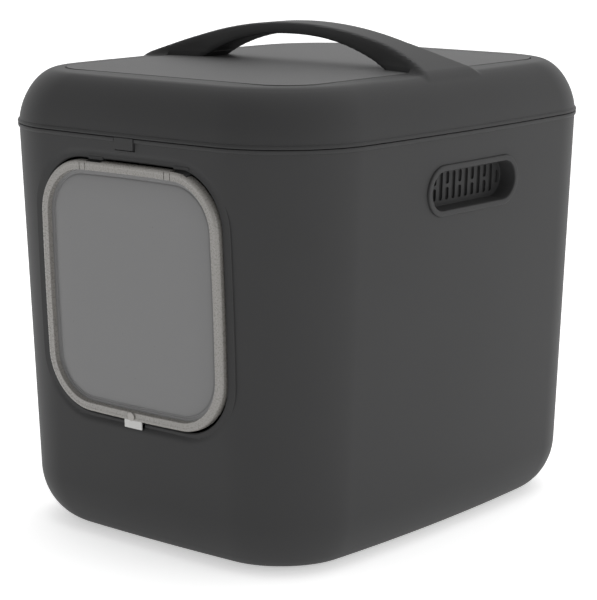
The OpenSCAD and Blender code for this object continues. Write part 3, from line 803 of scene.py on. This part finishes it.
def build_knob():
    """Flat round knob on its stem."""
    z = BAR_W / 2 - RING_H + BAR_W - 5.2
    face = -BAR_D / 2 - 0.3
    profile = [(1.5, LOCK_Y), (1.5, face), (3.7, face), (4, face - 0.3), (4, face - 0.8), (3.7, face - 1.1),
               (3, face - 1.2), (2.6, face - 1.05)]
    turns = np.linspace(0, 2 * math.pi, 40, endpoint=False)
    levels = [np.stack([LOCK_X + r * np.cos(turns), np.full(40, y), z + r * np.sin(turns)], 1)
              for r, y in profile]
    knob = loft("lock_button", levels, flap_frame)
    smooth(knob)
    return knob


# ---------- Grips and clip ----------

def grip_place(side):
    place = (Matrix.Translation((half_w - slope * (tub_h - grip_z), grip_y, grip_z))
             @ Matrix.Rotation(draft, 4, "Y"))
    return Matrix.Scale(side, 4, (1, 0, 0)) @ place if side < 0 else place


def slot_cutter(y, z, h, place):
    flat = round_box(SLOT_W / 2, h / 2, SLOT_W / 2 - 0.3, (6,) * 4, (1, 2, 1, 2))
    back, face = -GRIP_DEEP - 4, -GRIP_DEEP + 2
    levels = [np.column_stack([np.full(len(flat), x), flat + (y, z)]) for x in (back, face)]
    return loft("slot", levels, place)


def build_grip(side):
    rim = -GRIP_RIM
    profile = [(rim - 4, -GRIP_DEEP), (rim - 1.2, -GRIP_DEEP), (rim - 0.5, -GRIP_DEEP + 0.7),
               (rim - 0.3, -GRIP_DEEP + 2),
               (rim - 0.1, GRIP_PROUD - 1.4), (rim + 0.15, GRIP_PROUD - 0.7), (rim + 0.5, GRIP_PROUD - 0.2),
               (rim + 1.1, GRIP_PROUD), (-1.5, GRIP_PROUD), (-0.7, GRIP_PROUD - 0.15), (-0.2, GRIP_PROUD - 0.6),
               (0, GRIP_PROUD - 1.2), (0, GRIP_FLOOR), (rim + GRIP_WALL, GRIP_FLOOR),
               (rim + GRIP_WALL, -GRIP_DEEP - 2)]
    place = grip_place(side)
    grip = loft("grip_insert_" + ("left" if side < 0 else "right"), [stadium(o, x) for o, x in profile], place)
    for k in range(-6, 7):
        if abs(k) == 6:
            cut(grip, slot_cutter(k * SLOT_PITCH, 0, SLOT_H * 0.45, place))
        elif k % 2 == 0:
            for half in (-1, 1):
                cut(grip, slot_cutter(k * SLOT_PITCH, half * (SLOT_H + 3) / 4, (SLOT_H - 3) / 2, place))
        else:
            cut(grip, slot_cutter(k * SLOT_PITCH, 0, SLOT_H, place))
    smooth(grip)
    return grip


def build_clip():
    y, z = clip_axis.y, clip_axis.z
    front = -half_d + 0.4
    bottom = tub_h - CLIP_DROP
    face = -half_d - CLIP_PROUD
    profile = [(front + CLIP_T + 0.4, z), (face + 0.3, tub_h + 0.2), (face, tub_h - 0.3), (face, bottom + 0.3),
               (face + 0.3, bottom), (front + CLIP_T - 0.8, bottom), (front + CLIP_T + 0.4, bottom + 3)]
    clip = extrude_x("clip_plate", profile, -CLIP_W / 2, CLIP_W / 2)
    bevel(clip, 0.4)
    join(clip, rod_x("barrel", -CLIP_W / 2 + 0.1, CLIP_W / 2 - 0.1, CLIP_BARREL_R, y, z))
    smooth(clip)
    return clip


# ---------- Materials ----------

def plastic(name, colour, roughness, grain, grain_depth, spot=0.06):
    """Moulded plastic: mottled colour, a fine moulded grain, and roughness that varies a little."""
    material = bpy.data.materials.new(name)
    material.use_nodes = True
    nodes, links = material.node_tree.nodes, material.node_tree.links
    shader = nodes["Principled BSDF"]
    place = nodes.new("ShaderNodeTexCoord")
    mottle = nodes.new("ShaderNodeTexNoise")
    mottle.inputs["Scale"].default_value = 9
    mottle.inputs["Detail"].default_value = 3
    tint = nodes.new("ShaderNodeMix")
    tint.data_type = "RGBA"
    tint.inputs[6].default_value = (*[c * (1 - spot) for c in colour], 1)
    tint.inputs[7].default_value = (*[min(c * (1 + spot), 1) for c in colour], 1)
    fine = nodes.new("ShaderNodeTexNoise")
    fine.inputs["Scale"].default_value = 1 / (grain * MM)
    fine.inputs["Detail"].default_value = 2
    rough = nodes.new("ShaderNodeMapRange")
    rough.inputs["To Min"].default_value = roughness - 0.05
    rough.inputs["To Max"].default_value = roughness + 0.05
    bump = nodes.new("ShaderNodeBump")
    bump.inputs["Strength"].default_value = 0.35
    bump.inputs["Distance"].default_value = grain_depth * MM
    for texture in (mottle, fine):
        links.new(place.outputs["Object"], texture.inputs["Vector"])
    links.new(mottle.outputs["Fac"], tint.inputs[0])
    links.new(tint.outputs[2], shader.inputs["Base Color"])
    links.new(fine.outputs["Fac"], rough.inputs["Value"])
    links.new(rough.outputs["Result"], shader.inputs["Roughness"])
    links.new(fine.outputs["Fac"], bump.inputs["Height"])
    links.new(bump.outputs["Normal"], shader.inputs["Normal"])
    return material


def shader_of(material):
    return material.node_tree.nodes["Principled BSDF"]


def make_materials():
    shell = plastic("shell_plastic", (0.038, 0.038, 0.0385), 0.55, 0.9, 0.05)
    shader_of(shell).inputs["Specular IOR Level"].default_value = 0.16
    panel = plastic("panel_plastic", (0.085, 0.085, 0.0855), 0.6, 0.7, 0.09)
    shader_of(panel).inputs["Specular IOR Level"].default_value = 0.2
    ring = plastic("ring_plastic", (0.22, 0.21, 0.196), 0.28, 1.5, 0.003, 0.03)
    shader_of(ring).inputs["Specular IOR Level"].default_value = 0.75
    shader_of(ring).inputs["Subsurface Weight"].default_value = 0.15
    shader_of(ring).inputs["Subsurface Radius"].default_value = (0.004, 0.004, 0.004)
    pane = plastic("smoked_plastic", (0.16, 0.16, 0.161), 0.3, 3, 0.01, 0.02)
    shader_of(pane).inputs["Specular IOR Level"].default_value = 0.35
    lock = plastic("lock_plastic", (0.52, 0.52, 0.51), 0.35, 1.2, 0.02, 0.02)
    knob = plastic("knob_frosted", (0.33, 0.315, 0.3), 0.4, 1.2, 0.02, 0.02)
    steel = plastic("pin_steel", (0.5, 0.51, 0.52), 0.3, 0.5, 0.02, 0.05)
    shader_of(steel).inputs["Metallic"].default_value = 1
    charcoal = plastic("charcoal_felt", (0.012, 0.012, 0.012), 0.9, 1.2, 0.5, 0.3)
    shader_of(charcoal).inputs["Sheen Weight"].default_value = 0.1
    return {"shell": shell, "panel": panel, "ring": ring, "pane": pane, "lock": lock, "knob": knob,
            "pin_steel": steel,
            "charcoal": charcoal}


# ---------- Studio ----------

def make_camera():
    """The photograph's view: its direction, distance and framing."""
    target = Vector((0, 0, 0.211))
    azimuth, pitch, distance = math.radians(39.853), math.radians(11.1635), 2.067
    width, height, focal = 597, 600, 2111.5
    centre_x, centre_y = 303.57, 287.3
    back = Vector((math.sin(azimuth) * math.cos(pitch), -math.cos(azimuth) * math.cos(pitch), math.sin(pitch)))
    data = bpy.data.cameras.new("camera")
    camera = bpy.data.objects.new("camera", data)
    bpy.context.scene.collection.objects.link(camera)
    camera.location = target + back * distance
    camera.rotation_euler = back.to_track_quat("Z", "Y").to_euler()
    data.sensor_fit = "HORIZONTAL"
    data.sensor_width = 36
    data.lens = focal / width * data.sensor_width
    data.shift_x = (width / 2 - centre_x) / width
    data.shift_y = (centre_y - height / 2) / width
    data.clip_end = 50
    bpy.context.scene.camera = camera


def add_light(name, place, size, power, aim=(0, 0, 0.2)):
    data = bpy.data.lights.new(name, "AREA")
    data.size = size
    data.energy = power
    light = bpy.data.objects.new(name, data)
    bpy.context.scene.collection.objects.link(light)
    light.location = place
    light.rotation_euler = (Vector(place) - Vector(aim)).to_track_quat("Z", "Y").to_euler()


def make_studio():
    bpy.context.scene.view_settings.view_transform = "Standard"
    world = bpy.data.worlds.new("studio")
    bpy.context.scene.world = world
    world.use_nodes = True
    nodes, links = world.node_tree.nodes, world.node_tree.links
    background = nodes["Background"]
    background.inputs["Color"].default_value = (1, 1, 1, 1)
    place = nodes.new("ShaderNodeTexCoord")
    along_view = nodes.new("ShaderNodeVectorMath")
    along_view.operation = "DOT_PRODUCT"
    along_view.inputs[1].default_value = (-0.35, 0.85, 0.1)
    links.new(place.outputs["Generated"], along_view.inputs[0])
    behind = nodes.new("ShaderNodeMapRange")
    behind.interpolation_type = "SMOOTHSTEP"
    behind.inputs["From Min"].default_value = -0.5
    behind.inputs["From Max"].default_value = 0.9
    behind.inputs["To Min"].default_value = 0.5
    behind.inputs["To Max"].default_value = 1.35
    links.new(along_view.outputs["Value"], behind.inputs["Value"])
    height = nodes.new("ShaderNodeSeparateXYZ")
    links.new(place.outputs["Generated"], height.inputs[0])
    upward = nodes.new("ShaderNodeMapRange")
    upward.interpolation_type = "SMOOTHSTEP"
    upward.inputs["From Min"].default_value = 0.0
    upward.inputs["From Max"].default_value = 0.4
    upward.inputs["To Min"].default_value = 1.05
    upward.inputs["To Max"].default_value = 0.85
    links.new(height.outputs["Z"], upward.inputs["Value"])
    strength = nodes.new("ShaderNodeMath")
    strength.operation = "MULTIPLY"
    links.new(behind.outputs["Result"], strength.inputs[0])
    links.new(upward.outputs["Result"], strength.inputs[1])
    links.new(strength.outputs["Value"], background.inputs["Strength"])
    bpy.ops.mesh.primitive_plane_add(size=30)
    floor = bpy.context.object
    floor.name = "floor"
    white = bpy.data.materials.new("floor_white")
    white.use_nodes = True
    shader_of(white).inputs["Base Color"].default_value = (1, 1, 1, 1)
    shader_of(white).inputs["Roughness"].default_value = 0.9
    shader_of(white).inputs["Specular IOR Level"].default_value = 0
    shader_of(white).inputs["Emission Color"].default_value = (1, 1, 1, 1)
    shader_of(white).inputs["Emission Strength"].default_value = 0.47
    floor.data.materials.append(white)
    add_light("top", (0.1, 0.5, 2.8), 3, 20)
    add_light("right", (2.8, 0.3, 1.2), 1.8, 11)


# ---------- Assembly ----------

def fit(piece, body, slot, material, *nodes):
    """Gives a piece its material and body, and says which CAD nodes it stands for; slot is not used."""
    piece.data.materials.clear()
    piece.data.materials.append(material)
    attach(piece, body)
    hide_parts(*nodes)


def main():
    make_camera()
    make_studio()
    materials = make_materials()
    slots = {part["node"]: part["material_slot"] for part in frame["record"]["subparts"]}
    for node, obj in frame["nodes"].items():
        obj.data.materials.clear()
        obj.data.materials.append(materials[slots[node]])
    fit(build_tub(), "base", "shell", materials["shell"], "tub")
    fit(build_hood(), "hood", "shell", materials["shell"], "hood")
    fit(build_panel(), "hood", "panel", materials["panel"], "top_panel")
    fit(build_ring(), "flap", "ring", materials["ring"], "flap_ring")
    fit(build_pane(), "flap", "pane", materials["pane"], "flap_pane")
    fit(build_lock(), "lock", "lock", materials["lock"], "flap_lock")
    fit(build_knob(), "lock", "lock", materials["knob"], "lock_knob")
    fit(build_clip(), "clip", "shell", materials["shell"], "front_clip")
    fit(build_grip(-1), "base", "shell", materials["shell"], "grip_left")
    fit(build_grip(1), "base", "shell", materials["shell"], "grip_right")


main()
